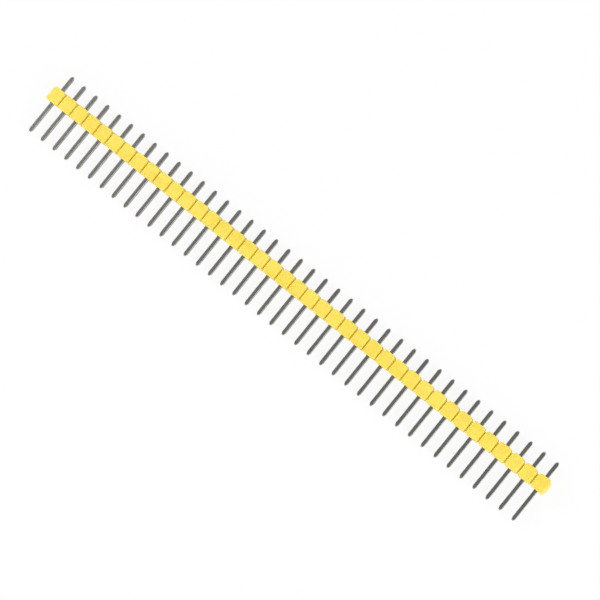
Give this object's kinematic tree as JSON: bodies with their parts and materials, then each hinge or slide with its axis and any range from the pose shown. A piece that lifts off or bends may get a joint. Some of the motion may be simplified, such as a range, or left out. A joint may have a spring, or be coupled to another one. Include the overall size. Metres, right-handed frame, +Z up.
{
  "type": "pin header strip",
  "caption": "Single-row break-away pin header: square plated pins pressed through a grooved plastic strip, with short tails to solder and long ends to plug in.",
  "frame": {"origin": "middle of the row, on the pins' axes, in the plane of the housing face that seats on a circuit board", "axes": "+X along the row, +Y along the pins towards the long mating ends, +Z up, square to the broad side that the strip lies on"},
  "size_m": [0.1016, 0.0112, 0.0026],
  "materials": {
    "housing_plastic": "satin moulded, bright yellow",
    "pin_plating": "tin plated, satin grey over brass"
  },
  "bodies": {
    "root": {"housing": "housing_plastic", "pin_01": "pin_plating", "pin_02": "pin_plating", "pin_03": "pin_plating", "pin_04": "pin_plating", "pin_05": "pin_plating", "pin_06": "pin_plating", "pin_07": "pin_plating", "pin_08": "pin_plating", "pin_09": "pin_plating", "pin_10": "pin_plating", "pin_11": "pin_plating", "pin_12": "pin_plating", "pin_13": "pin_plating", "pin_14": "pin_plating", "pin_15": "pin_plating", "pin_16": "pin_plating", "pin_17": "pin_plating", "pin_18": "pin_plating", "pin_19": "pin_plating", "pin_20": "pin_plating", "pin_21": "pin_plating", "pin_22": "pin_plating", "pin_23": "pin_plating", "pin_24": "pin_plating", "pin_25": "pin_plating", "pin_26": "pin_plating", "pin_27": "pin_plating", "pin_28": "pin_plating", "pin_29": "pin_plating", "pin_30": "pin_plating", "pin_31": "pin_plating", "pin_32": "pin_plating", "pin_33": "pin_plating", "pin_34": "pin_plating", "pin_35": "pin_plating", "pin_36": "pin_plating", "pin_37": "pin_plating", "pin_38": "pin_plating", "pin_39": "pin_plating", "pin_40": "pin_plating"}
  },
  "joints": []
}
